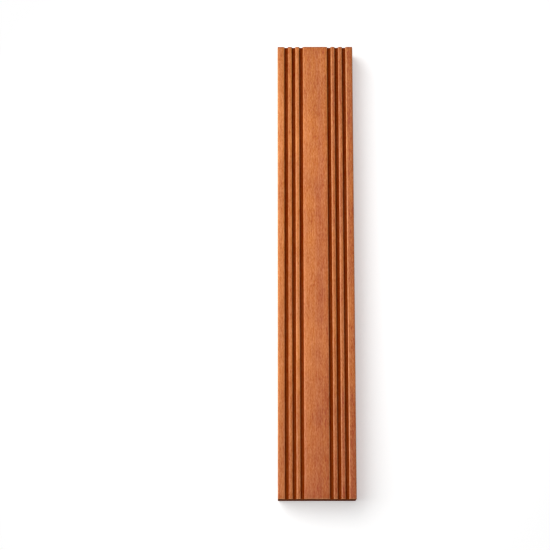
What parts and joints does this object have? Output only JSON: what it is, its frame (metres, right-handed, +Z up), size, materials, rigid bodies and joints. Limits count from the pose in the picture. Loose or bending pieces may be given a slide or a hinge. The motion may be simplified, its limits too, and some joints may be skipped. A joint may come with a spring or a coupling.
{
  "type": "hardwood decking board",
  "caption": "Solid hardwood decking board with a plain flat tread along its middle and anti-slip grooves running the full length on either side.",
  "frame": {"origin": "middle of the underside, where the board rests on its joists", "axes": "+Y along the board's length and grain, +X across its width, +Z up out of the grooved face"},
  "size_m": [0.09, 0.54, 0.032],
  "materials": {
    "oiled_hardwood": "satin"
  },
  "bodies": {
    "root": {"decking_board": "oiled_hardwood"}
  },
  "joints": []
}
